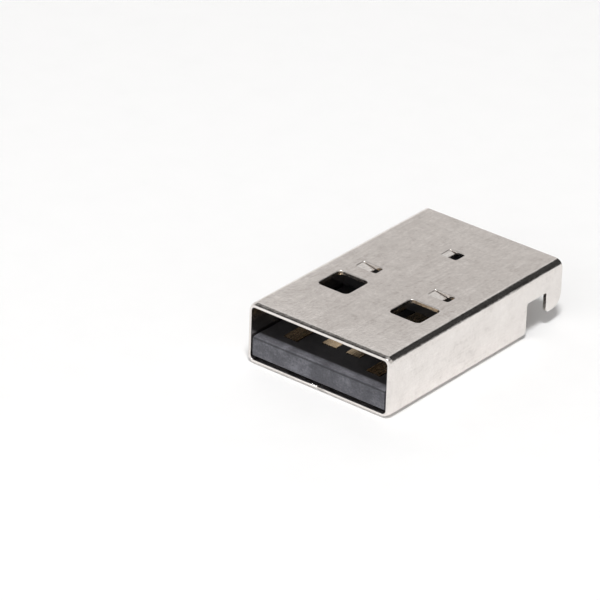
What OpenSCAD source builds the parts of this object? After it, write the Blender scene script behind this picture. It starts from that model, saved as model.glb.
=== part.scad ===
// Board-mounted USB-A plug: a folded steel shell, a moulded insulator with its
// tongue, and four stamped contacts whose tails go down through the board.
// X is the width, +Y runs from the mouth to the tails, +Z is up. The plug lies
// on the seam side of its shell, and the origin is the middle of that side.

/* [Shell] */
// Outside width of the shell
shell_w = 12.0; // [11.9:0.05:12.1]
// Outside height of the shell
shell_h = 4.5; // [4.4:0.05:4.6]
// Length of the shell from the mouth to the back of the legs
shell_l = 18.9; // [18.5:0.1:19.5]
// Thickness of the steel sheet
sheet_t = 0.3; // [0.25:0.01:0.32]
// Outside radius of the four long bends
bend_r = 0.6; // [0.5:0.05:0.8]
// Length of the wall that holds the seam
seam_wall_l = 15.25; // [15.0:0.05:15.5]
// Width of the open line along the seam
seam_gap = 0.08; // [0.04:0.01:0.12]

/* [Latch windows] */
// Width of a latch window, across the plug
window_w = 2.55; // [2.3:0.05:2.7]
// Length of a latch window, along the plug
window_l = 2.5; // [2.3:0.05:2.6]
// Distance from the mouth to the near edge of the windows
window_y = 5.1; // [4.9:0.05:5.3]
// Distance between the centres of the two windows
window_pitch = 6.05; // [5.9:0.05:6.2]
// Corner radius of the windows
window_r = 0.35; // [0.2:0.05:0.5]

/* [Seam locks] */
// Distance from the mouth to the middle of the front dovetail
dovetail_front_y = 2.55; // [2.2:0.05:2.9]
// Distance from the mouth to the middle of the back dovetail
dovetail_back_y = 11.5; // [11.0:0.05:12.0]
// Length of a dovetail across the seam
dovetail_l = 1.0; // [0.7:0.05:1.3]
// Width of a dovetail at its neck
dovetail_neck_w = 0.95; // [0.7:0.05:1.2]
// Width of a dovetail at its head
dovetail_head_w = 1.85; // [1.4:0.05:2.0]

/* [Board notch and legs] */
// Distance from the mouth to the front edge of the notch
notch_y = 15.0; // [14.5:0.05:15.2]
// Height of the notch's upper edge, which sits on the board
notch_z = 2.65; // [2.4:0.05:2.9]
// Length of a shell leg along the plug
leg_l = 1.7; // [1.7:0.05:2.0]
// Height of a shell leg's lower end
leg_z = 1.1; // [0.8:0.05:1.4]
// Corner radius at the back of a leg
leg_back_r = 1.0; // [0.6:0.05:1.2]
// Corner radius at the front of a leg
leg_front_r = 0.35; // [0.2:0.05:0.5]
// Radius of the lower corner of a side wall, in front of the notch
wall_corner_r = 0.9; // [0.5:0.05:1.0]

/* [Pressed tabs] */
// Width of the slot that a front tab was cut from
front_slot_w = 1.7; // [1.5:0.05:1.9]
// Length of the slot that a front tab was cut from
front_slot_l = 0.88; // [0.8:0.02:0.9]
// Distance from the mouth to the near edge of the front slots
front_slot_y = 8.8; // [8.6:0.05:8.8]
// Distance between the centres of the two front slots
front_slot_pitch = 6.1; // [5.9:0.05:6.3]
// Width of a front tab, which hangs from the back edge of its slot
front_tab_w = 1.15; // [0.9:0.05:1.3]
// How far a front tab reaches below the sheet
front_tab_drop = 0.25; // [0.15:0.05:0.4]
// Width of the slot that the back tab was cut from
back_slot_w = 1.3; // [1.1:0.05:1.5]
// Length of the slot that the back tab was cut from
back_slot_l = 1.05; // [1.0:0.05:1.2]
// Distance from the mouth to the near edge of the back slot
back_slot_y = 13.95; // [13.8:0.05:14.0]
// Length of the back tab, which hangs from the side edge of its slot
back_tab_l = 0.85; // [0.7:0.05:0.9]
// How far the back tab reaches below the sheet
back_tab_drop = 0.6; // [0.4:0.05:0.65]
// Corner radius of the slots
slot_r = 0.12; // [0.05:0.01:0.2]

/* [Insulator] */
// Height of the tongue's contact side
tongue_top = 2.0; // [1.9:0.05:2.2]
// Height of the tongue's underside
tongue_bottom = 0.52; // [0.45:0.01:0.6]
// Gap between the tongue and each side of the shell
tongue_side_gap = 0.15; // [0.1:0.01:0.2]
// How far the tongue stops short of the mouth
tongue_recess = 0.05; // [0.02:0.01:0.2]
// Edge break around the tongue's front
tongue_edge = 0.12; // [0.05:0.01:0.2]
// Gap between the front tabs and the solid block that rests against them
block_gap = 0.02; // [0.02:0.02:0.2]
// Distance from the mouth to the back of the shelf over the board
shelf_y = 16.6; // [16.0:0.1:17.0]
// Height of the shelf's underside over the board
shelf_z = 2.7; // [2.7:0.05:2.8]
// How much more the block's corners are rounded than the inside of the bends
corner_room = 0.15; // [0.1:0.05:0.3]
// Room around the back tab in the block's pocket
pocket_gap = 0.12; // [0.1:0.02:0.2]

/* [Contacts] */
// Width of a contact blade
contact_w = 1.15; // [1.0:0.05:1.2]
// Thickness of the contact strip
contact_t = 0.25; // [0.2:0.01:0.25]
// How far a blade stands out of its groove
contact_proud = 0.03; // [0.01:0.01:0.05]
// Side clearance of a blade in its groove
groove_gap = 0.05; // [0.03:0.01:0.08]
// Distance from the mouth to the front of the two power contacts
long_contact_y = 1.45; // [1.2:0.05:1.6]
// Distance from the mouth to the front of the two data contacts
short_contact_y = 2.45; // [2.2:0.05:2.6]
// Distance of a data contact from the middle
data_x = 1.0; // [0.95:0.05:1.05]
// Distance of a power contact from the middle
power_x = 3.5; // [3.4:0.05:3.6]
// Height of the strip's upper face where it leaves the block
exit_z = 3.3; // [3.1:0.05:3.4]
// Distance from the mouth to the middle of the tails
tail_y = 17.9; // [17.5:0.05:18.0]
// Width of a tail
tail_w = 0.8; // [0.6:0.05:0.9]
// Height of the tail's lower end
tail_z = 0.6; // [0.5:0.05:0.9]
// Width of the tail's pointed end
tail_tip_w = 0.35; // [0.3:0.05:0.5]
// Height over which the tail narrows to its end
tail_point_h = 0.35; // [0.2:0.05:0.5]
// Inside radius of the contacts' bends
contact_bend_r = 0.3; // [0.2:0.05:0.4]

/* [Hidden] */
$fn = 48;

steel = "#b9b3ad";
black_plastic = "#35353b";
gold = "#d9ab5a";

inside_w = shell_w - 2*sheet_t;
inside_top = shell_h - sheet_t;
inside_r = bend_r - sheet_t;
block_r = inside_r + corner_room;
block_y = front_slot_y + front_slot_l + sheet_t + block_gap;
dovetail_y = [dovetail_front_y, dovetail_back_y];
blade_top = tongue_top + contact_proud;
blade_bottom = blade_top - contact_t;
// Distances from the mouth along a contact's rise inside the block
rise_y0 = 12.0;
rise_y1 = rise_y0 + (exit_z - blade_top);
// Cutting solids reach this far past the faces that they cut
past = 0.5;

// Puts a shape drawn with the mouth at y = 0 on the part's own origin.
module from_mouth() {
    translate([0, -shell_l/2, 0]) children();
}

// Rectangle with round corners, centred.
module round_rect(w, h, r) {
    square([w - 2*r, h], center = true);
    square([w, h - 2*r], center = true);
    for (sx = [-1, 1], sy = [-1, 1])
        translate([sx*(w/2 - r), sy*(h/2 - r)]) circle(r);
}

// Extrudes a shape drawn across the plug (X across, Y up) from y0 to y1.
module along_plug(y0, y1) {
    translate([0, y1, 0]) rotate([90, 0, 0])
        linear_extrude(height = y1 - y0) children();
}

// Extrudes a shape drawn on a side (X along the plug, Y up) across the width w.
module across_plug(x_mid, w) {
    translate([x_mid - w/2, 0, 0]) rotate([90, 0, 90])
        linear_extrude(height = w) children();
}

// Corner filling of radius r, taken away to round an outside corner.
// sx and sy point from the corner into the material.
module corner_cut(x, y, r, sx, sy) {
    difference() {
        translate([x - (sx < 0 ? r : past), y - (sy < 0 ? r : past)])
            square([r + past, r + past]);
        translate([x + sx*r, y + sy*r]) circle(r);
    }
}

// ---- shell ----

module shell_tube() {
    along_plug(0, shell_l) translate([0, shell_h/2]) difference() {
        round_rect(shell_w, shell_h, bend_r);
        round_rect(inside_w, shell_h - 2*sheet_t, inside_r);
    }
}

// What is taken from a side wall, seen from the side: the notch for the board,
// the space below the legs, and the round corners.
module side_wall_cuts() {
    leg_front = shell_l - leg_l;
    translate([notch_y, -past]) square([leg_front - notch_y, notch_z + past]);
    translate([notch_y, -past]) square([shell_l - notch_y + past, leg_z + past]);
    corner_cut(notch_y, 0, wall_corner_r, -1, 1);
    corner_cut(leg_front, leg_z, leg_front_r, 1, 1);
    corner_cut(shell_l, leg_z, leg_back_r, -1, 1);
}

// The side walls are cut with their bends, and the flat seam wall between them
// ends a little further back.
module notch_and_legs() {
    side_cut_w = bend_r + past;
    for (sx = [-1, 1])
        across_plug(sx*(shell_w/2 - bend_r + side_cut_w/2), side_cut_w) side_wall_cuts();
    translate([-shell_w/2 + bend_r, seam_wall_l, -past])
        cube([shell_w - 2*bend_r, shell_l - seam_wall_l + past, notch_z + past]);
}

module latch_windows() {
    for (sx = [-1, 1])
        translate([sx*window_pitch/2, window_y + window_l/2, -past])
            linear_extrude(height = shell_h + 2*past)
                round_rect(window_w, window_l, window_r);
}

// Dovetail outline grown by e on every side, with its neck at x = 0.
module dovetail(y, e) {
    neck = dovetail_neck_w/2 + e;
    head = dovetail_head_w/2 + e;
    polygon([[0, y - neck], [dovetail_l + e, y - head], [dovetail_l + e, y + head], [0, y + neck]]);
}

module seam_line() {
    difference() {
        union() {
            translate([-seam_gap/2, -past]) square([seam_gap, shell_l]);
            for (y = dovetail_y) dovetail(y, seam_gap);
        }
        for (y = dovetail_y) {
            dovetail(y, 0);
            // the tab's root, which crosses the line of the seam
            translate([-seam_gap, y - dovetail_neck_w/2]) square([2*seam_gap, dovetail_neck_w]);
        }
    }
}

module tab_slot(x, y, w, l) {
    translate([x, y + l/2, inside_top - sheet_t])
        linear_extrude(height = 2*sheet_t + past) round_rect(w, l, slot_r);
}

// A front tab is folded down at the back edge of its slot, and stops the block.
module front_tab(sx) {
    translate([sx*front_slot_pitch/2 - front_tab_w/2, front_slot_y + front_slot_l,
               inside_top - front_tab_drop])
        cube([front_tab_w, sheet_t, front_tab_drop + sheet_t/2]);
}

// The back tab is folded down at the side edge of its slot, into the block's pocket.
module back_tab() {
    translate([-back_slot_w/2 - sheet_t, back_slot_y + (back_slot_l - back_tab_l)/2,
               inside_top - back_tab_drop])
        cube([sheet_t, back_tab_l, back_tab_drop + sheet_t/2]);
}

module shell() {
    color(steel) from_mouth() {
        difference() {
            shell_tube();
            notch_and_legs();
            latch_windows();
            translate([0, 0, -past]) linear_extrude(height = sheet_t + 2*past) seam_line();
            for (sx = [-1, 1])
                tab_slot(sx*front_slot_pitch/2, front_slot_y, front_slot_w, front_slot_l);
            tab_slot(0, back_slot_y, back_slot_w, back_slot_l);
        }
        for (sx = [-1, 1]) front_tab(sx);
        back_tab();
    }
}

// ---- insulator ----

// Side outline of the tongue, with its front edges broken.
module tongue_outline() {
    y = tongue_recess;
    e = tongue_edge;
    polygon([[y + e, tongue_bottom], [block_y, tongue_bottom], [block_y, tongue_top],
             [y + e, tongue_top], [y, tongue_top - e], [y, tongue_bottom + e]]);
}

// The block fills the shell behind the mouth, and a shelf reaches out over the board.
module block() {
    inside_h = inside_top - sheet_t;
    along_plug(block_y, notch_y) translate([0, shell_h/2])
        round_rect(inside_w, inside_h, block_r);
    intersection() {
        along_plug(notch_y, shelf_y) translate([0, shell_h/2])
            round_rect(inside_w, inside_h, block_r);
        translate([-shell_w/2, 0, shelf_z]) cube([shell_w, shell_l, shell_h]);
    }
}

// Room for the back tab, which keeps the block from sliding out.
module tab_pocket() {
    w = back_slot_w + sheet_t + 2*pocket_gap;
    translate([-back_slot_w/2 - sheet_t - pocket_gap, back_slot_y - pocket_gap,
               inside_top - back_tab_drop - pocket_gap])
        cube([w, back_slot_l + 2*pocket_gap, shell_h]);
}

module groove(x, front_y) {
    w = contact_w + 2*groove_gap;
    translate([x - w/2, front_y - groove_gap, blade_bottom])
        cube([w, block_y - front_y + groove_gap, contact_t + past]);
}

module insulator() {
    color(black_plastic) from_mouth() difference() {
        union() {
            across_plug(0, inside_w - 2*tongue_side_gap) tongue_outline();
            block();
        }
        tab_pocket();
        for (sx = [-1, 1]) {
            groove(sx*data_x, short_contact_y);
            groove(sx*power_x, long_contact_y);
            contact_strip(sx*data_x, short_contact_y);
            contact_strip(sx*power_x, long_contact_y);
        }
    }
}

// ---- contacts ----

function turn(a, b) = (b - a)/norm(b - a);
function left_of(d) = [-d[1], d[0]];
// Sideways step at point i of a path, which keeps the strip's thickness in a bend.
function mitre(p, i) =
    let (d0 = turn(p[max(i - 1, 0)], p[max(i, 1)]),
         d1 = turn(p[min(i, len(p) - 2)], p[min(i + 1, len(p) - 1)]),
         m = left_of(d0) + left_of(d1))
    m/(1 + d0*d1);

// Strip of thickness t along the path p, seen from the side.
module strip(p, t) {
    n = len(p);
    polygon(concat([for (i = [0:n - 1]) p[i] + mitre(p, i)*t/2],
                   [for (i = [n - 1:-1:0]) p[i] - mitre(p, i)*t/2]));
}

// The strip's middle line: along the tongue, up inside the block, and out.
function blade_path(front_y) =
    [[front_y, blade_top - contact_t/2], [rise_y0, blade_top - contact_t/2],
     [rise_y1, exit_z - contact_t/2], [shelf_y - contact_t, exit_z - contact_t/2]];

// From inside the block, round the bend and down through the board.
function tail_path() =
    let (r = contact_bend_r + contact_t/2, z = exit_z - contact_t/2, steps = 8)
    concat([[shelf_y - 2*contact_t, z]],
           [for (k = [0:steps]) [tail_y - r + r*sin(90*k/steps), z - r + r*cos(90*k/steps)]],
           [[tail_y, tail_z]]);

module contact_strip(x, front_y) {
    across_plug(x, contact_w) strip(blade_path(front_y), contact_t);
    difference() {
        across_plug(x, tail_w) strip(tail_path(), contact_t);
        for (sx = [-1, 1]) along_plug(tail_y - past, tail_y + past)
            polygon([[x + sx*tail_tip_w/2, tail_z], [x + sx*tail_w/2, tail_z + tail_point_h],
                     [x + sx*(tail_w/2 + past), tail_z + tail_point_h],
                     [x + sx*(tail_w/2 + past), tail_z - past], [x + sx*tail_tip_w/2, tail_z - past]]);
    }
}

module contact(x, front_y) {
    color(gold) from_mouth() contact_strip(x, front_y);
}

module contact_ground() { contact(-power_x, long_contact_y); }
module contact_data_plus() { contact(-data_x, short_contact_y); }
module contact_data_minus() { contact(data_x, short_contact_y); }
module contact_power() { contact(power_x, long_contact_y); }

shell();
insulator();
contact_ground();
contact_data_plus();
contact_data_minus();
contact_power();
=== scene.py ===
"""Looks of a board-mounted USB-A plug.

A shell folded from sheet steel, a moulded insulator and four stamped contacts.
"""
import math

import bmesh
import bpy
from mathutils import Matrix, Vector
from mathutils.geometry import delaunay_2d_cdt


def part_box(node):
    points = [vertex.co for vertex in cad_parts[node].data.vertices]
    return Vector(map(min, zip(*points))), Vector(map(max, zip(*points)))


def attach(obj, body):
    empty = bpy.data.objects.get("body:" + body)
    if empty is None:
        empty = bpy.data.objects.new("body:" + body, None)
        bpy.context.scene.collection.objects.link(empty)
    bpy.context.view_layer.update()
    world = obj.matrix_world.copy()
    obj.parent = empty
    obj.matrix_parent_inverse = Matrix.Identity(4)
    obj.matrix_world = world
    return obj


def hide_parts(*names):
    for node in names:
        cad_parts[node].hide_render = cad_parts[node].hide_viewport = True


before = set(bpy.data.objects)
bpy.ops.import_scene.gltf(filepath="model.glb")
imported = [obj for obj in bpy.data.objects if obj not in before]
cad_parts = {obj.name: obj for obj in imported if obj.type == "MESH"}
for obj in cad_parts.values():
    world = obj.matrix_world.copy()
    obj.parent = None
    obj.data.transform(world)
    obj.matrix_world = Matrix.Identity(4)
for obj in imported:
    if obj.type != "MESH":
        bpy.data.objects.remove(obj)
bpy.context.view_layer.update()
MM = 0.001

# ---- sizes of the shell, in millimetres; y is counted from the mouth ----
low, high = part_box("shell")
WIDTH, HEIGHT, LENGTH = [(high[i] - low[i]) / MM for i in (0, 2, 1)]
MOUTH = low.y / MM
SHEET = 0.3
BEND = 0.6
SEAM_WALL = 15.25
SEAM_GAP = 0.08
WINDOW_W, WINDOW_L, WINDOW_Y, WINDOW_PITCH, WINDOW_R = 2.55, 2.5, 5.1, 6.05, 0.35
DOVETAILS_Y = (2.55, 11.5)
DOVE_L, DOVE_NECK, DOVE_HEAD, DOVE_R = 1.0, 0.95, 1.85, 0.08
NOTCH_Y, NOTCH_Z, NOTCH_R = 15.0, 2.65, 0.12
LEG_L, LEG_Z, LEG_BACK_R, LEG_FRONT_R, WALL_R = 1.7, 1.1, 0.99, 0.35, 0.95
FRONT_SLOT_W, FRONT_SLOT_L, FRONT_SLOT_Y, FRONT_SLOT_PITCH = 1.7, 0.88, 8.8, 6.1
BACK_SLOT_W, BACK_SLOT_L, BACK_SLOT_Y = 1.3, 1.05, 13.95
SLOT_R = 0.15

# The seam's edge has one more point just behind the mouth, and a rounded rear corner
SEAM_FIRST_POINT, SEAM_CORNER_R = 0.25, 0.1
# A narrow slit parts the seam wall from the bend; it ends this far behind the centre of the wall's corner
SLIT_W, SLIT_END = 0.02, 0.2
# The wall's curved corner starts at this turn and is drawn in this many steps
WALL_TURN, WALL_STEPS = math.radians(14), 8

# The tabs slope down from the left end of their slots
FRONT_TAB_L, BACK_TAB_L, TAB_SLOPE, TAB_T = 1.05, 0.55, 0.2, 0.26
# How far a tab is tucked past the slot's end, its gap at the sides, its depth below the top, its edge radius
TAB_TUCK, TAB_GAP, TAB_SUNK, TAB_EDGE_R = 0.03, 0.05, 0.05, 0.04

# Roundings of the cut edges; the outer edge of the mouth is coined to a longer one
# Each step: distance in from the edge, depth below the face, tilt
EDGE_R = 0.045
ROUND_STEPS = 4
ROUND_EDGE = [(EDGE_R * (1 - math.sin(a)), EDGE_R * (1 - math.cos(a)), a)
              for a in [math.pi / 2 * k / ROUND_STEPS for k in range(ROUND_STEPS + 1)]]
COINED_EDGE = [(0.36, 0.0, 0.06), (0.28, 0.018, 0.30), (0.09, 0.085, 0.42),
               (0.025, 0.12, 0.95), (0.0, 0.17, math.pi / 2)]
BEND_STEPS = 10
LONGEST_EDGE = 1.2

# Length of the lighter band on the tongue, from the mouth: painted light falling in at the mouth
PAINTED_LIGHT_BAND = 0.8
# Half the width over which the band fades out
BAND_BLUR = 0.06
# The tongue's front face ends and its top begins here; along the edge between them a darker line is painted,
# a painted dark reflection
STRIP_START = 0.15
DARK_EDGE_H, DARK_EDGE_L = 0.14, 0.12
TONGUE_TOP = 2.0

# Lengths along the sheet's middle, from the middle of the top round to the seam
MID_R = BEND - SHEET / 2
FLAT = WIDTH / 2 - BEND
ARC = MID_R * math.pi / 2
SIDE = HEIGHT - 2 * BEND
HALF = 2 * FLAT + 2 * ARC + SIDE


# ---- the shell as a flat blank: s goes round the plug, y along it ----

def wall_s(z):
    """Distance along the sheet to the height z on a side wall."""
    return FLAT + ARC + HEIGHT - BEND - z


def filleted(corners):
    """Outline through corners (s, y, radius) with each corner rounded."""
    out = []
    count = len(corners)
    for i, (s, y, r) in enumerate(corners):
        here = Vector((s, y))
        if r == 0:
            out.append(here)
            continue
        back = (Vector(corners[i - 1][:2]) - here).normalized()
        ahead = (Vector(corners[(i + 1) % count][:2]) - here).normalized()
        half = back.angle(ahead) / 2
        reach = r / math.tan(half)
        centre = here + (back + ahead).normalized() * r / math.sin(half)
        start, end = here + back * reach, here + ahead * reach
        turn = (start - centre).angle_signed(end - centre)
        steps = max(3, round(abs(turn) / math.radians(15)))
        for k in range(steps + 1):
            out.append(centre + Matrix.Rotation(-turn * k / steps, 2) @ (start - centre))
    return out


def rectangle(s, y, w, l, r):
    left, right, back = s - w / 2, s + w / 2, y + l
    return filleted([(left, y, r), (right, y, r), (right, back, r), (left, back, r)])


def seam_edge(grown, reach):
    """Corners up one edge of the seam: dovetails for reach > 0, or their sockets."""
    edge = HALF - SEAM_GAP / 2
    out = [(edge, 0, 0), (edge, SEAM_FIRST_POINT, 0)]
    for y in DOVETAILS_Y:
        neck, head = DOVE_NECK / 2 + grown, DOVE_HEAD / 2 + grown
        end = HALF + reach
        out += [(edge, y - neck, 0), (end, y - head, DOVE_R), (end, y + head, DOVE_R), (edge, y + neck, 0)]
    return out + [(edge, SEAM_WALL, SEAM_CORNER_R)]


def half_outline(seam):
    """Right half of the blank's outline, from the mouth along the seam to the middle of the back edge."""
    bend_end = HALF - FLAT
    slit = bend_end + SLIT_W
    corners = seam + [(slit, SEAM_WALL, SEAM_CORNER_R), (slit, NOTCH_Y - WALL_R + SLIT_END, 0)]
    for k in range(WALL_STEPS + 1):
        a = WALL_TURN + (math.pi / 2 - WALL_TURN) * k / WALL_STEPS
        corners.append((bend_end - WALL_R + WALL_R * math.cos(a),
                        NOTCH_Y - WALL_R + WALL_R * math.sin(a), 0))
    leg_y = LENGTH - LEG_L
    return corners + [
        (wall_s(NOTCH_Z), NOTCH_Y, NOTCH_R), (wall_s(NOTCH_Z), leg_y, NOTCH_R),
        (wall_s(LEG_Z), leg_y, LEG_FRONT_R), (wall_s(LEG_Z), LENGTH, LEG_BACK_R), (0, LENGTH, 0)]


def blank_loops():
    right = half_outline(seam_edge(SEAM_GAP, -DOVE_L - SEAM_GAP))
    left = [(-s, y, r) for s, y, r in half_outline(seam_edge(0, DOVE_L))]
    loops = [filleted(right + left[::-1][1:])]
    for side in (-1, 1):
        for s in (WINDOW_PITCH / 2, HALF - WINDOW_PITCH / 2):
            loops.append(rectangle(side * s, WINDOW_Y, WINDOW_W, WINDOW_L, WINDOW_R))
        loops.append(rectangle(side * FRONT_SLOT_PITCH / 2, FRONT_SLOT_Y,
                               FRONT_SLOT_W, FRONT_SLOT_L, SLOT_R))
    loops.append(rectangle(0, BACK_SLOT_Y, BACK_SLOT_W, BACK_SLOT_L, SLOT_R))
    return loops


def fold_lines():
    starts = (FLAT, FLAT + ARC + SIDE)
    return sorted(side * (a + ARC * k / BEND_STEPS)
                  for side in (-1, 1) for a in starts for k in range(BEND_STEPS + 1))


def divided(loop, lines):
    """The loop with points where it crosses a fold line, and no edge too long."""
    out = []
    for i, p in enumerate(loop):
        q = loop[(i + 1) % len(loop)]
        cuts = {0.0}
        if abs(q.x - p.x) > 1e-6:
            cuts |= {(s - p.x) / (q.x - p.x) for s in lines}
        pieces = max(1, math.ceil((q - p).length / LONGEST_EDGE))
        cuts |= {k / pieces for k in range(pieces)}
        last = -1.0
        for t in sorted(c for c in cuts if 0 <= c < 1 - 1e-4):
            if t - last > 1e-3:
                out.append(p.lerp(q, t))
                last = t
    return out


def signed_area(loop):
    return sum(a.x * b.y - b.x * a.y for a, b in zip(loop, loop[1:] + loop[:1])) / 2


def inset(loop, amounts, inward):
    """The loop moved into the sheet, edge i by amounts[i]."""
    out = []
    for i, p in enumerate(loop):
        d0 = (p - loop[i - 1]).normalized()
        d1 = (loop[(i + 1) % len(loop)] - p).normalized()
        n0, n1 = Vector((-d0.y, d0.x)) * inward, Vector((-d1.y, d1.x)) * inward
        a0, a1 = amounts[i - 1], amounts[i]
        det = n0.x * n1.y - n0.y * n1.x
        if abs(det) < 0.02:
            out.append(p + (n0 + n1).normalized() * (a0 + a1) / 2)
        else:
            out.append(p + Vector(((a0 * n1.y - a1 * n0.y) / det, (a1 * n0.x - a0 * n1.x) / det)))
    return out


def in_sheet(x, y, loops):
    inside = False
    for loop in loops:
        for a, b in zip(loop, loop[1:] + loop[:1]):
            if (a.y > y) != (b.y > y) and x < a.x + (y - a.y) * (b.x - a.x) / (b.y - a.y):
                inside = not inside
    return inside


def outward(loop, inward):
    """Directions pointing out of the sheet at each point of the loop."""
    out = []
    for i, p in enumerate(loop):
        d0 = (p - loop[i - 1]).normalized()
        d1 = (loop[(i + 1) % len(loop)] - p).normalized()
        out.append((Vector((d0.y, -d0.x)) + Vector((d1.y, -d1.x))).normalized() * inward)
    return out


def fill_sheet(bm, loops, lines, n, facing):
    """Triangles over one side of the blank, at the height n."""
    points = [p for loop in loops for p in loop]
    edges, start = [], 0
    for loop in loops:
        edges += [(start + i, start + (i + 1) % len(loop)) for i in range(len(loop))]
        start += len(loop)
    for s in lines:
        edges.append((len(points), len(points) + 1))
        points += [Vector((s, -1)), Vector((s, LENGTH + 1))]
    found, _, faces = delaunay_2d_cdt(points, edges, [], 0, 1e-5)[:3]
    verts = [bm.verts.new((p.x, p.y, n)) for p in found]
    for v in verts:
        v[facing] = (0, 0, math.copysign(1, n))
    for face in faces:
        mid = sum((found[i] for i in face), Vector((0, 0))) / len(face)
        if in_sheet(mid.x, mid.y, loops):
            bm.faces.new([verts[i] for i in face])
    for v in [v for v in verts if not v.link_faces]:
        bm.verts.remove(v)


def folded(s, n):
    """Place across the plug of the sheet at s, n outside the sheet's middle."""
    u, side = abs(s), 1 if s >= 0 else -1
    r = MID_R + n
    if u < FLAT:
        x, z = u, HEIGHT - SHEET / 2 + n
    elif u < FLAT + ARC:
        a = (u - FLAT) / MID_R
        x, z = FLAT + r * math.sin(a), HEIGHT - BEND + r * math.cos(a)
    elif u < FLAT + ARC + SIDE:
        x, z = WIDTH / 2 - SHEET / 2 + n, HEIGHT - BEND - (u - FLAT - ARC)
    elif u < FLAT + 2 * ARC + SIDE:
        a = (u - FLAT - ARC - SIDE) / MID_R
        x, z = FLAT + r * math.cos(a), BEND - r * math.sin(a)
    else:
        x, z = HALF - u, SHEET / 2 - n
    return side * x, z


def add_tab(bm, slot_middle, slot_w, slot_y, slot_l, length):
    """A tab with rounded edges that slopes down from the left end of a slot."""
    left = slot_middle - slot_w / 2 - TAB_TUCK
    top = HEIGHT - TAB_SUNK
    lo = (left, slot_y + TAB_GAP, top - TAB_T)
    hi = (left + length, slot_y + slot_l - TAB_GAP, top)
    before = set(bm.verts)
    made = bmesh.ops.create_cube(bm, size=1)["verts"]
    for v in made:
        v.co = Vector([lo[i] + (v.co[i] + 0.5) * (hi[i] - lo[i]) for i in range(3)])
    edges = list({e for v in made for e in v.link_edges})
    bmesh.ops.bevel(bm, geom=edges, offset=TAB_EDGE_R, segments=2, affect="EDGES", profile=0.5)
    for v in bm.verts:
        if v not in before:
            v.co.z -= TAB_SLOPE * (v.co.x - left)
            # The tabs take the second material, brightened as a painted highlight
            for f in v.link_faces:
                f.material_index = 1


def build_shell():
    bm = bmesh.new()
    facing = bm.verts.layers.float_vector.new("facing")
    lines = fold_lines()
    loops = [divided(loop, lines) for loop in blank_loops()]
    fills = {1: [], -1: []}
    for index, loop in enumerate(loops):
        inward = (1 if signed_area(loop) > 0 else -1) * (1 if index == 0 else -1)
        count = len(loop)
        at_mouth = [abs(loop[i].y) < 1e-6 and abs(loop[(i + 1) % count].y) < 1e-6 for i in range(count)]
        away = outward(loop, inward)
        rings = []
        for face, order in ((1, range(ROUND_STEPS + 1)), (-1, range(ROUND_STEPS, -1, -1))):
            for k in order:
                steps = [(COINED_EDGE if face == 1 and m else ROUND_EDGE)[k] for m in at_mouth]
                ring = inset(loop, [step[0] for step in steps], inward)
                if k == 0:
                    fills[face].append(ring)
                verts = []
                for i, p in enumerate(ring):
                    drop, tilt = max(steps[i - 1][1:], steps[i][1:])
                    v = bm.verts.new((p.x, p.y, face * (SHEET / 2 - drop)))
                    side = away[i] * math.sin(tilt)
                    v[facing] = Vector((side.x, side.y, face * math.cos(tilt))).normalized()
                    verts.append(v)
                rings.append(verts)
        for a, b in zip(rings, rings[1:]):
            for i in range(count):
                j = (i + 1) % count
                bm.faces.new((a[i], a[j], b[j], b[i]))
    for face in (1, -1):
        fill_sheet(bm, fills[face], lines, face * SHEET / 2, facing)
    bmesh.ops.remove_doubles(bm, verts=bm.verts, dist=2e-4)
    for v in bm.verts:
        x, z = folded(v.co.x, v.co.z)
        far_x, far_z = folded(v.co.x, v.co.z + 1)
        out, along = Vector((far_x - x, 0, far_z - z)), Vector((far_z - z, 0, x - far_x))
        v[facing] = along * v[facing].x + Vector((0, v[facing].y, 0)) + out * v[facing].z
        v.co = Vector((x, v.co.y, z))
    for side in (-1, 1):
        add_tab(bm, side * FRONT_SLOT_PITCH / 2, FRONT_SLOT_W, FRONT_SLOT_Y, FRONT_SLOT_L, FRONT_TAB_L)
    add_tab(bm, 0, BACK_SLOT_W, BACK_SLOT_Y, BACK_SLOT_L, BACK_TAB_L)
    for v in bm.verts:
        v.co = Vector((v.co.x, v.co.y + MOUTH, v.co.z)) * MM
    bmesh.ops.recalc_face_normals(bm, faces=bm.faces)
    bm.normal_update()
    for f in bm.faces:
        f.smooth = True
    bm.faces.index_update()
    normals = [f.normal.copy() if f.material_index else Vector(loop.vert[facing])
               for f in bm.faces for loop in f.loops]
    mesh = bpy.data.meshes.new("shell_folded")
    bm.to_mesh(mesh)
    bm.free()
    mesh.normals_split_custom_set(normals)
    piece = bpy.data.objects.new("shell_folded", mesh)
    bpy.context.scene.collection.objects.link(piece)
    return piece


# ---- materials ----

def socket_group(name, inputs, outputs):
    group = bpy.data.node_groups.new(name, "ShaderNodeTree")
    for label, kind, value in inputs:
        made = group.interface.new_socket(label, in_out="INPUT", socket_type=kind)
        if value is not None:
            made.default_value = value
    for label, kind in outputs:
        group.interface.new_socket(label, in_out="OUTPUT", socket_type=kind)
    return group, group.nodes.new("NodeGroupInput"), group.nodes.new("NodeGroupOutput")


def noise(nodes, links, vector, scale, detail, rough=0.5):
    made = nodes.new("ShaderNodeTexNoise")
    made.inputs["Scale"].default_value = scale
    made.inputs["Detail"].default_value = detail
    made.inputs["Roughness"].default_value = rough
    links.new(vector, made.inputs["Vector"])
    return made.outputs["Fac"]


def maths(nodes, links, kind, a, b, c=None):
    made = nodes.new("ShaderNodeMath")
    made.operation = kind
    for i, value in enumerate((a, b, c)):
        if value is None:
            continue
        if isinstance(value, (int, float)):
            made.inputs[i].default_value = value
        else:
            links.new(value, made.inputs[i])
    return made.outputs[0]


def stretched(nodes, links, vector, scale):
    made = nodes.new("ShaderNodeMapping")
    made.inputs["Scale"].default_value = scale
    links.new(vector, made.inputs["Vector"])
    return made.outputs[0]


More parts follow.
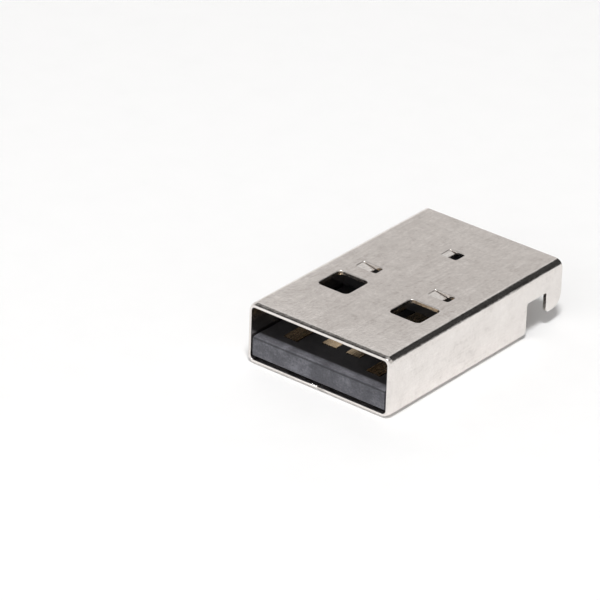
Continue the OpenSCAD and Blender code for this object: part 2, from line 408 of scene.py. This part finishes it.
def rolled_metal_group():
    """Stains, rolling lines and fine grain of plated sheet; distances are in metres."""
    group, given, result = socket_group(
        "rolled_metal",
        [("Vector", "NodeSocketVector", None), ("Stain Size", "NodeSocketFloat", 700.0),
         ("Grain Size", "NodeSocketFloat", 9000.0), ("Line Strength", "NodeSocketFloat", 0.4)],
        [("Stain", "NodeSocketFloat"), ("Grain", "NodeSocketFloat"), ("Height", "NodeSocketFloat")])
    nodes, links = group.nodes, group.links
    stain = nodes.new("ShaderNodeTexNoise")
    stain.inputs["Detail"].default_value = 5.0
    stain.inputs["Roughness"].default_value = 0.62
    links.new(given.outputs["Vector"], stain.inputs["Vector"])
    links.new(given.outputs["Stain Size"], stain.inputs["Scale"])
    grain = nodes.new("ShaderNodeTexNoise")
    grain.inputs["Detail"].default_value = 3.0
    links.new(given.outputs["Vector"], grain.inputs["Vector"])
    links.new(given.outputs["Grain Size"], grain.inputs["Scale"])
    drawn_out = stretched(nodes, links, given.outputs["Vector"], (9000, 350, 9000))
    lines = noise(nodes, links, drawn_out, 1.0, 3.0)
    lines = maths(nodes, links, "MULTIPLY", lines, given.outputs["Line Strength"])
    both = maths(nodes, links, "MULTIPLY_ADD", grain.outputs["Fac"], 0.6, lines)
    links.new(stain.outputs["Fac"], result.inputs["Stain"])
    links.new(both, result.inputs["Grain"])
    links.new(maths(nodes, links, "MULTIPLY_ADD", stain.outputs["Fac"], 0.8, both), result.inputs["Height"])
    return group


def edge_wear_group():
    """Mask of the rounded edges, where plating is rubbed bright."""
    group, given, result = socket_group(
        "edge_wear", [("Vector", "NodeSocketVector", None), ("Amount", "NodeSocketFloat", 0.5)],
        [("Mask", "NodeSocketFloat")])
    nodes, links = group.nodes, group.links
    geometry = nodes.new("ShaderNodeNewGeometry")
    ramp = nodes.new("ShaderNodeMapRange")
    ramp.inputs["From Min"].default_value = 0.51
    ramp.inputs["From Max"].default_value = 0.6
    links.new(geometry.outputs["Pointiness"], ramp.inputs["Value"])
    broken = noise(nodes, links, given.outputs["Vector"], 1500.0, 3.0)
    masked = maths(nodes, links, "MULTIPLY", ramp.outputs[0], broken)
    links.new(maths(nodes, links, "MULTIPLY", masked, given.outputs["Amount"]), result.inputs["Mask"])
    return group


ROLLED = rolled_metal_group()
EDGE_WEAR = edge_wear_group()


def new_material(name):
    material = bpy.data.materials.new(name)
    material.use_nodes = True
    nodes, links = material.node_tree.nodes, material.node_tree.links
    shader = nodes["Principled BSDF"]
    place = nodes.new("ShaderNodeTexCoord").outputs["Object"]
    return material, nodes, links, shader, place


def place_group(nodes, links, group, vector, **values):
    made = nodes.new("ShaderNodeGroup")
    made.node_tree = group
    links.new(vector, made.inputs["Vector"])
    for label, value in values.items():
        made.inputs[label.replace("_", " ")].default_value = value
    return made.outputs


def colour_ramp(nodes, links, value, stops):
    made = nodes.new("ShaderNodeValToRGB")
    elements = made.color_ramp.elements
    while len(elements) < len(stops):
        elements.new(0.5)
    for element, (at, colour) in zip(elements, stops):
        element.position = at
        element.color = (*colour, 1)
    links.new(value, made.inputs[0])
    return made.outputs["Color"]


def to_range(nodes, links, value, lo, hi):
    made = nodes.new("ShaderNodeMapRange")
    made.inputs["From Min"].default_value = 0.3
    made.inputs["From Max"].default_value = 0.7
    made.inputs["To Min"].default_value = lo
    made.inputs["To Max"].default_value = hi
    links.new(value, made.inputs["Value"])
    return made.outputs[0]


def add_bump(nodes, links, shader, height, strength, distance):
    bump = nodes.new("ShaderNodeBump")
    bump.inputs["Strength"].default_value = strength
    bump.inputs["Distance"].default_value = distance
    links.new(height, bump.inputs["Height"])
    links.new(bump.outputs[0], shader.inputs["Normal"])


def mix_colour(nodes, links, mask, base, colour):
    made = nodes.new("ShaderNodeMix")
    made.data_type = "RGBA"
    links.new(mask, made.inputs["Factor"])
    links.new(base, made.inputs["A"])
    made.inputs["B"].default_value = (*colour, 1)
    return made.outputs["Result"]


def nickel_plated_steel(name, highlight_lift, relief):
    """Plated sheet; highlight_lift brightens the colour towards white, a painted highlight on the places
    rubbed in the press, and low relief smooths them.
    """
    material, nodes, links, shader, place = new_material(name)
    metal = place_group(nodes, links, ROLLED, place,
                        Stain_Size=900.0, Grain_Size=5200.0, Line_Strength=0.45)
    worn = place_group(nodes, links, EDGE_WEAR, place, Amount=0.6)
    half_stain = maths(nodes, links, "MULTIPLY", metal["Stain"], 0.5)
    shade = maths(nodes, links, "MULTIPLY_ADD", metal["Grain"], 0.5, half_stain)
    stops = [(0.36, (0.68, 0.64, 0.61)), (0.47, (0.79, 0.75, 0.72)),
             (0.56, (0.83, 0.79, 0.76)), (0.66, (0.90, 0.865, 0.835))]
    highlighted_stops = [(at, [c + (1 - c) * highlight_lift for c in tone]) for at, tone in stops]
    colour = colour_ramp(nodes, links, shade, highlighted_stops)
    colour = mix_colour(nodes, links, worn["Mask"], colour, (0.92, 0.90, 0.87))
    links.new(colour, shader.inputs["Base Color"])
    links.new(to_range(nodes, links, metal["Grain"], 0.12, 0.24), shader.inputs["Roughness"])
    shader.inputs["Metallic"].default_value = 1.0
    add_bump(nodes, links, shader, metal["Height"], relief, 0.00002)
    return material


def gold_plated_bronze():
    material, nodes, links, shader, place = new_material("gold_plated_bronze")
    metal = place_group(nodes, links, ROLLED, place,
                        Stain_Size=1500.0, Grain_Size=16000.0, Line_Strength=0.5)
    worn = place_group(nodes, links, EDGE_WEAR, place, Amount=0.4)
    colour = colour_ramp(nodes, links, metal["Stain"], [
        (0.30, (0.58, 0.43, 0.27)), (0.55, (0.72, 0.56, 0.38)), (0.75, (0.84, 0.69, 0.50))])
    colour = mix_colour(nodes, links, worn["Mask"], colour, (0.93, 0.76, 0.48))
    links.new(colour, shader.inputs["Base Color"])
    links.new(to_range(nodes, links, metal["Grain"], 0.16, 0.30), shader.inputs["Roughness"])
    shader.inputs["Metallic"].default_value = 1.0
    add_bump(nodes, links, shader, metal["Height"], 0.3, 0.000003)
    return material


def moulded_thermoplastic():
    """Dark polished moulding; the front of the tongue is painted lighter, as light falling in at the mouth,
    and the rest darker, as painted shade.
    """
    material, nodes, links, shader, place = new_material("moulded_thermoplastic")
    texture = noise(nodes, links, place, 7000.0, 4.0, 0.6)
    flow = noise(nodes, links, stretched(nodes, links, place, (900, 900, 1400)), 1.0, 5.0, 0.7)
    flow_share = maths(nodes, links, "MULTIPLY", flow, 0.6)
    blend = maths(nodes, links, "MULTIPLY_ADD", texture, 0.4, flow_share)
    parts = nodes.new("ShaderNodeSeparateXYZ")
    links.new(place, parts.inputs[0])
    band = nodes.new("ShaderNodeMapRange")
    band.interpolation_type = "SMOOTHSTEP"
    band.inputs["From Min"].default_value = (MOUTH + PAINTED_LIGHT_BAND + BAND_BLUR) * MM
    band.inputs["From Max"].default_value = (MOUTH + PAINTED_LIGHT_BAND - BAND_BLUR) * MM
    links.new(parts.outputs["Y"], band.inputs["Value"])
    # Colour of all but the tongue's front band, painted darker: painted shade
    shaded_polished_colour = colour_ramp(nodes, links, blend, [
        (0.32, (0.020, 0.020, 0.023)), (0.5, (0.028, 0.028, 0.032)), (0.68, (0.045, 0.044, 0.048))])
    # Lighter colours of the tongue's front face and top strip: painted light falling in at the mouth
    front = colour_ramp(nodes, links, blend, [
        (0.36, (0.042, 0.042, 0.052)), (0.5, (0.075, 0.075, 0.088)), (0.64, (0.15, 0.15, 0.172))])
    lit_strip = colour_ramp(nodes, links, blend, [
        (0.36, (0.065, 0.065, 0.075)), (0.5, (0.115, 0.115, 0.13)), (0.64, (0.21, 0.21, 0.235))])
    behind = nodes.new("ShaderNodeMix")
    behind.data_type = "RGBA"
    on_top = maths(nodes, links, "GREATER_THAN", parts.outputs["Y"], (MOUTH + STRIP_START) * MM)
    links.new(on_top, behind.inputs["Factor"])
    links.new(front, behind.inputs["A"])
    links.new(lit_strip, behind.inputs["B"])
    # Darker line along the tongue's top front edge: painted dark reflection
    dark_edge = maths(nodes, links, "GREATER_THAN", parts.outputs["Z"], (TONGUE_TOP - DARK_EDGE_H) * MM)
    near_front = maths(nodes, links, "LESS_THAN", parts.outputs["Y"], (MOUTH + DARK_EDGE_L) * MM)
    dark_edge = maths(nodes, links, "MULTIPLY", dark_edge, near_front)
    off_dark_edge = maths(nodes, links, "MULTIPLY_ADD", dark_edge, -0.75, 1.0)
    lit_part = maths(nodes, links, "MULTIPLY", band.outputs[0], off_dark_edge)
    either = nodes.new("ShaderNodeMix")
    either.data_type = "RGBA"
    links.new(lit_part, either.inputs["Factor"])
    links.new(shaded_polished_colour, either.inputs["A"])
    links.new(behind.outputs["Result"], either.inputs["B"])
    links.new(either.outputs["Result"], shader.inputs["Base Color"])
    links.new(to_range(nodes, links, texture, 0.42, 0.62), shader.inputs["Roughness"])
    add_bump(nodes, links, shader, texture, 0.6, 0.000015)
    return material


def dress(piece, material):
    piece.data.materials.clear()
    piece.data.materials.append(material)


def break_edges(piece, width):
    bevel = piece.modifiers.new("broken_edges", "BEVEL")
    bevel.width = width * MM
    bevel.segments = 2
    bevel.limit_method = "ANGLE"
    bevel.angle_limit = math.radians(35)
    bevel.harden_normals = True


steel = nickel_plated_steel("nickel_plated_steel", 0, 0.9)
# The tabs' steel, brightened nearly to white: partly rubbing in the press, partly painted highlight
rubbed_steel_and_highlight = nickel_plated_steel("rubbed_steel_and_highlight", 0.9, 0.1)
gold = gold_plated_bronze()
plastic = moulded_thermoplastic()

shell = build_shell()
dress(shell, steel)
shell.data.materials.append(rubbed_steel_and_highlight)
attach(shell, "root")
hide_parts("shell")

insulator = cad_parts["insulator"]
dress(insulator, plastic)
break_edges(insulator, 0.03)
for name in ("contact_ground", "contact_data_plus", "contact_data_minus", "contact_power"):
    dress(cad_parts[name], gold)
    break_edges(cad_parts[name], 0.03)


# ---- the studio ----

def build_floor():
    size = 3.0
    mesh = bpy.data.meshes.new("floor")
    corners = [(-size, -size, 0), (size, -size, 0), (size, size, 0), (-size, size, 0)]
    mesh.from_pydata(corners, [], [(0, 1, 2, 3)])
    floor = bpy.data.objects.new("floor", mesh)
    bpy.context.scene.collection.objects.link(floor)
    floor.location.z = low.z - 0.00001
    material, nodes, links, shader, place = new_material("white_paper")
    fibre = noise(nodes, links, place, 400.0, 3.0)
    links.new(colour_ramp(nodes, links, fibre, [(0.2, (0.89, 0.89, 0.89)), (0.8, (0.91, 0.91, 0.91))]),
              shader.inputs["Base Color"])
    shader.inputs["Roughness"].default_value = 0.7
    rays = nodes.new("ShaderNodeLightPath")
    shader.inputs["Emission Color"].default_value = (1, 1, 1, 1)
    glow = maths(nodes, links, "MULTIPLY", rays.outputs["Is Camera Ray"], 0.04)
    links.new(glow, shader.inputs["Emission Strength"])
    below = nodes.new("ShaderNodeNewGeometry")
    clear = nodes.new("ShaderNodeBsdfTransparent")
    either = nodes.new("ShaderNodeMixShader")
    links.new(below.outputs["Backfacing"], either.inputs["Fac"])
    links.new(shader.outputs[0], either.inputs[1])
    links.new(clear.outputs[0], either.inputs[2])
    links.new(either.outputs[0], nodes["Material Output"].inputs["Surface"])
    floor.data.materials.append(material)


def dark_flag(nodes, links, direction, towards, edge, core):
    """Factor that falls towards the middle of a round dark flag."""
    flag = nodes.new("ShaderNodeVectorMath")
    flag.operation = "DOT_PRODUCT"
    flag.inputs[1].default_value = Vector(towards).normalized()
    links.new(direction, flag.inputs[0])
    dark = nodes.new("ShaderNodeMapRange")
    dark.interpolation_type = "SMOOTHSTEP"
    dark.inputs["From Min"].default_value = edge
    dark.inputs["From Max"].default_value = core
    dark.inputs["To Min"].default_value = 1.0
    dark.inputs["To Max"].default_value = 0.05
    links.new(flag.outputs["Value"], dark.inputs["Value"])
    return dark.outputs[0]


def build_world():
    """A light tent: white low down, grey higher up, dark overhead, with two dark flags."""
    world = bpy.data.worlds.new("light_tent")
    bpy.context.scene.world = world
    world.use_nodes = True
    nodes, links = world.node_tree.nodes, world.node_tree.links
    background = nodes["Background"]
    direction = nodes.new("ShaderNodeTexCoord").outputs["Generated"]
    parts = nodes.new("ShaderNodeSeparateXYZ")
    links.new(direction, parts.inputs[0])
    front = maths(nodes, links, "MINIMUM", parts.outputs["Y"], 0.0)
    rise = maths(nodes, links, "MULTIPLY_ADD", front, 0.4, parts.outputs["Z"])
    height = colour_ramp(nodes, links, rise, [
        (0.0, (1.0, 1.0, 1.0)), (0.22, (1.0, 1.0, 1.0)), (0.36, (0.66, 0.64, 0.625)),
        (0.50, (0.51, 0.485, 0.47)), (0.56, (0.62, 0.60, 0.59)), (0.61, (1.0, 0.99, 0.98)),
        (0.68, (1.0, 0.99, 0.98)), (0.74, (0.22, 0.21, 0.20)),
        (0.86, (0.14, 0.14, 0.14)), (0.93, (0.40, 0.40, 0.40)), (1.0, (0.45, 0.45, 0.45))])
    rear_flag = dark_flag(nodes, links, direction, (0.32, 0.70, 0.61), 0.80, 0.90)
    left_flag = dark_flag(nodes, links, direction, (-0.55, -0.20, 0.80), 0.885, 0.965)
    light = maths(nodes, links, "MULTIPLY", rear_flag, left_flag)
    tent = nodes.new("ShaderNodeVectorMath")
    tent.operation = "SCALE"
    links.new(height, tent.inputs[0])
    links.new(light, tent.inputs["Scale"])
    rays = nodes.new("ShaderNodeLightPath")
    shown = nodes.new("ShaderNodeMix")
    shown.data_type = "RGBA"
    links.new(rays.outputs["Is Camera Ray"], shown.inputs["Factor"])
    links.new(tent.outputs[0], shown.inputs["A"])
    shown.inputs["B"].default_value = (0.955, 0.955, 0.955, 1)
    links.new(shown.outputs["Result"], background.inputs["Color"])
    background.inputs["Strength"].default_value = 1.0


def add_lamp(name, direction, distance, size, power):
    lamp = bpy.data.lights.new(name, "AREA")
    lamp.shape = "DISK"
    lamp.size = size
    lamp.energy = power
    made = bpy.data.objects.new(name, lamp)
    bpy.context.scene.collection.objects.link(made)
    where = Vector(direction).normalized() * distance
    made.location = where
    made.rotation_euler = (-where).to_track_quat("-Z", "Y").to_euler()


def build_camera():
    data = bpy.data.cameras.new("camera")
    camera = bpy.data.objects.new("camera", data)
    bpy.context.scene.collection.objects.link(camera)
    data.sensor_width = 36.0
    data.lens = 268.3
    data.clip_start = 0.01
    azimuth, elevation, roll = math.radians(38.15), math.radians(28.06), math.radians(1.925)
    forward = Vector((-math.sin(azimuth) * math.cos(elevation), math.cos(azimuth) * math.cos(elevation),
                      -math.sin(elevation)))
    level = forward.cross(Vector((0, 0, 1))).normalized()
    rise = level.cross(forward)
    right = level * math.cos(roll) + rise * math.sin(roll)
    up = rise * math.cos(roll) - level * math.sin(roll)
    turn = Matrix((right, up, -forward)).transposed().to_4x4()
    camera.matrix_world = Matrix.Translation(Vector((157.76, -212.39, 143.72)) * MM) @ turn
    bpy.context.scene.camera = camera


build_floor()
build_world()
add_lamp("softbox", (0.25, -0.32, 1.0), 0.6, 0.12, 2.45)
build_camera()
bpy.context.scene.view_settings.view_transform = "Standard"
